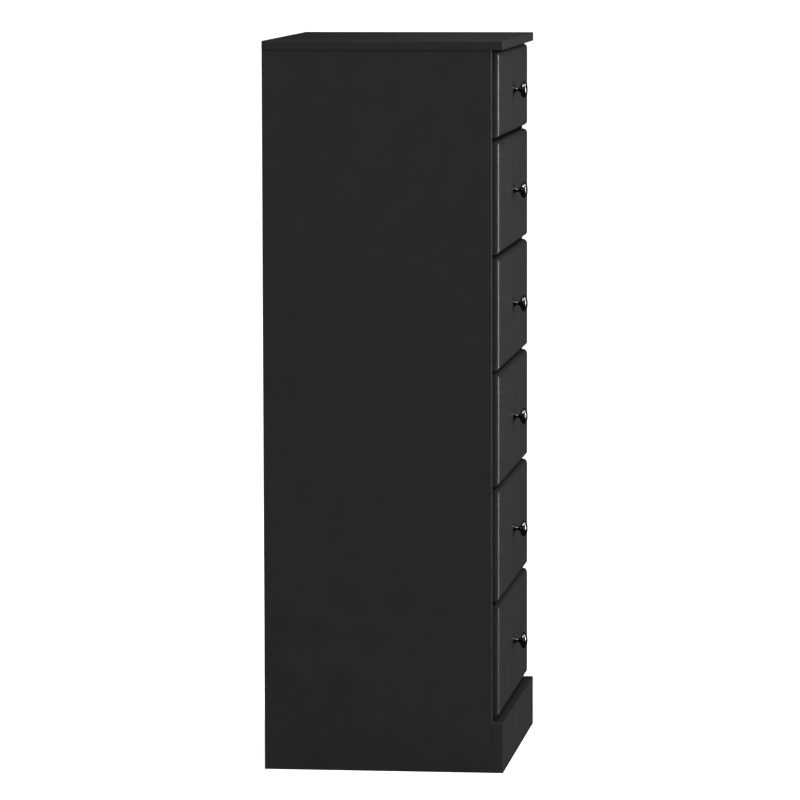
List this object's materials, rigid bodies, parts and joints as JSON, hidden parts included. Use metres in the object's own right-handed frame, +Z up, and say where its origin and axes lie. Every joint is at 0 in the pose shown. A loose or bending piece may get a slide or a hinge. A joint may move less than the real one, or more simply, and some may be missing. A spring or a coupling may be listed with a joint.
{
  "type": "chest of drawers",
  "caption": "Tall narrow chest of drawers with a shallow top drawer over equal deep drawers, round-edged fronts with central knobs, plain sides to the floor and a plinth board.",
  "frame": {"origin": "on the floor, at the centre of the overall footprint, which runs from the knob tips to the rear edges", "axes": "+X to the right seen from the front, +Y to the rear, so the drawers open along -Y, +Z up"},
  "size_m": [0.53, 0.4154, 1.215],
  "materials": {
    "case_board": "matt black foil over chipboard",
    "drawer_front": "satin black foil wrapped round a fibreboard front",
    "knob_metal": "polished black nickel",
    "drawer_board": "dark grey foil over chipboard",
    "hardboard": "thin hardboard, printed dark face",
    "runner_plastic": "moulded black plastic",
    "steel": "zinc-plated steel",
    "zinc": "die-cast zinc",
    "dowel_wood": "plain beech dowels"
  },
  "bodies": {
    "case": {"left_side_panel": "case_board", "right_side_panel": "case_board", "top_panel": "case_board", "plinth": "case_board", "base_panel": "case_board", "top_front_rail": "case_board", "middle_front_rail": "case_board", "back_rail": "case_board", "plinth_back_rail": "case_board", "back_panel": "hardboard", "left_runner_strips": "runner_plastic", "right_runner_strips": "runner_plastic", "runner_screws": "steel", "case_dowels": "dowel_wood", "case_cam_bolts": "steel", "case_cams": "zinc", "back_pins": "steel"},
    "drawer_1": {"drawer_1_front": "drawer_front", "drawer_1_left_side": "drawer_board", "drawer_1_right_side": "drawer_board", "drawer_1_back": "drawer_board", "drawer_1_bottom": "hardboard", "drawer_1_fasteners": "steel", "drawer_1_knob": "knob_metal"},
    "drawer_2": {"drawer_2_front": "drawer_front", "drawer_2_left_side": "drawer_board", "drawer_2_right_side": "drawer_board", "drawer_2_back": "drawer_board", "drawer_2_bottom": "hardboard", "drawer_2_fasteners": "steel", "drawer_2_knob": "knob_metal"},
    "drawer_3": {"drawer_3_front": "drawer_front", "drawer_3_left_side": "drawer_board", "drawer_3_right_side": "drawer_board", "drawer_3_back": "drawer_board", "drawer_3_bottom": "hardboard", "drawer_3_fasteners": "steel", "drawer_3_knob": "knob_metal"},
    "drawer_4": {"drawer_4_front": "drawer_front", "drawer_4_left_side": "drawer_board", "drawer_4_right_side": "drawer_board", "drawer_4_back": "drawer_board", "drawer_4_bottom": "hardboard", "drawer_4_fasteners": "steel", "drawer_4_knob": "knob_metal"},
    "drawer_5": {"drawer_5_front": "drawer_front", "drawer_5_left_side": "drawer_board", "drawer_5_right_side": "drawer_board", "drawer_5_back": "drawer_board", "drawer_5_bottom": "hardboard", "drawer_5_fasteners": "steel", "drawer_5_knob": "knob_metal"},
    "drawer_6": {"drawer_6_front": "drawer_front", "drawer_6_left_side": "drawer_board", "drawer_6_right_side": "drawer_board", "drawer_6_back": "drawer_board", "drawer_6_bottom": "hardboard", "drawer_6_fasteners": "steel", "drawer_6_knob": "knob_metal"}
  },
  "joints": [
    {"name": "drawer_1_slide", "type": "slide", "parent": "case", "child": "drawer_1", "axis": [0, -1, 0], "range_m": [0, 0.25]},
    {"name": "drawer_2_slide", "type": "slide", "parent": "case", "child": "drawer_2", "axis": [0, -1, 0], "range_m": [0, 0.25]},
    {"name": "drawer_3_slide", "type": "slide", "parent": "case", "child": "drawer_3", "axis": [0, -1, 0], "range_m": [0, 0.25]},
    {"name": "drawer_4_slide", "type": "slide", "parent": "case", "child": "drawer_4", "axis": [0, -1, 0], "range_m": [0, 0.25]},
    {"name": "drawer_5_slide", "type": "slide", "parent": "case", "child": "drawer_5", "axis": [0, -1, 0], "range_m": [0, 0.25]},
    {"name": "drawer_6_slide", "type": "slide", "parent": "case", "child": "drawer_6", "axis": [0, -1, 0], "range_m": [0, 0.25]}
  ]
}
